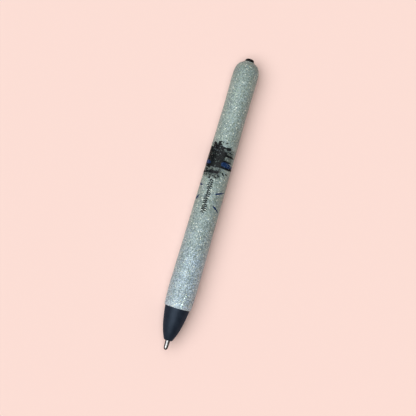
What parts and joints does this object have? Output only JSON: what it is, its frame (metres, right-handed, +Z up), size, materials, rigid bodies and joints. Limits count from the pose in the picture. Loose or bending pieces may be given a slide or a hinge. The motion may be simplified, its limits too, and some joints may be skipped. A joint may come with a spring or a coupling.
{
  "type": "retractable gel pen",
  "caption": "Clipless retractable gel pen with a thick clear-coated glitter barrel, a screw-on ogive nose cone and a push button in its rounded end.",
  "frame": {"origin": "on the table under the middle of the pen's length, with the pen lying down and its tip out", "axes": "+X along the pen's own axis towards the writing tip, +Z up, with the decorated side of the barrel facing +Z"},
  "size_m": [0.142, 0.0136, 0.0136],
  "materials": {
    "clear_resin": "clear cast resin, glossy",
    "dark_film": "cut and printed film, charcoal",
    "navy_film": "cut and printed film, navy",
    "silver_sage_glitter": "fine silver and sage glitter in resin",
    "grey_plastic": "moulded",
    "navy_plastic": "satin moulded",
    "black_plastic": "satin moulded",
    "white_plastic": "moulded",
    "spring_steel": "drawn wire",
    "stainless_steel": "turned and polished",
    "tungsten_carbide": "polished",
    "frosted_tube": "translucent extruded tube",
    "gel_ink": "black gel",
    "follower_grease": "clear grease"
  },
  "bodies": {
    "barrel": {"epoxy_topcoat": "clear_resin", "decal_band": "dark_film", "decal_flourish": "dark_film", "decal_dash_1": "navy_film", "decal_dash_2": "navy_film", "decal_dash_3": "navy_film", "decal_dash_4": "navy_film", "glitter_layer": "silver_sage_glitter", "barrel_tube": "grey_plastic", "rear_housing": "grey_plastic"},
    "knock": {"push_button": "black_plastic"},
    "refill": {"refill_tube": "frosted_tube", "tail_plug": "white_plastic", "ink_column": "gel_ink", "ink_follower": "follower_grease", "tip_holder": "white_plastic", "steel_point": "stainless_steel", "ball_spring": "spring_steel"},
    "rotor": {"cam_rotor": "white_plastic"},
    "tip_ball": {"writing_ball": "tungsten_carbide"},
    "spring_seat": {"return_spring": "spring_steel"},
    "nose_cone": {"nose_cone": "navy_plastic"}
  },
  "joints": [
    {"name": "knock_press", "type": "slide", "parent": "barrel", "child": "knock", "axis": [1, 0, 0], "range_m": [-0.0052, 0.0008]},
    {"name": "refill_advance", "type": "slide", "parent": "barrel", "child": "refill", "axis": [1, 0, 0], "range_m": [-0.0053, 0.0009], "deforming": ["return_spring"]},
    {"name": "rotor_index", "type": "hinge", "parent": "refill", "child": "rotor", "pos_m": [-0.0416, 0, 0.00681], "axis": [1, 0, 0], "continuous": true},
    {"name": "ball_roll", "type": "hinge", "parent": "refill", "child": "tip_ball", "pos_m": [0.07065, 0, 0.00681], "axis": [0, 1, 0], "continuous": true},
    {"name": "cone_advance", "type": "slide", "parent": "barrel", "child": "spring_seat", "axis": [1, 0, 0], "range_m": [0, 0.00487]},
    {"name": "cone_unscrew", "type": "hinge", "parent": "spring_seat", "child": "nose_cone", "pos_m": [0.0501, 0, 0.00681], "axis": [1, 0, 0], "range_deg": [0, 1175]}
  ],
  "couplings": [
    {"joint": "refill_advance", "follows": "knock_press", "ratio": 1},
    {"joint": "cone_unscrew", "follows": "cone_advance", "rad_per_m": 4188.8}
  ]
}
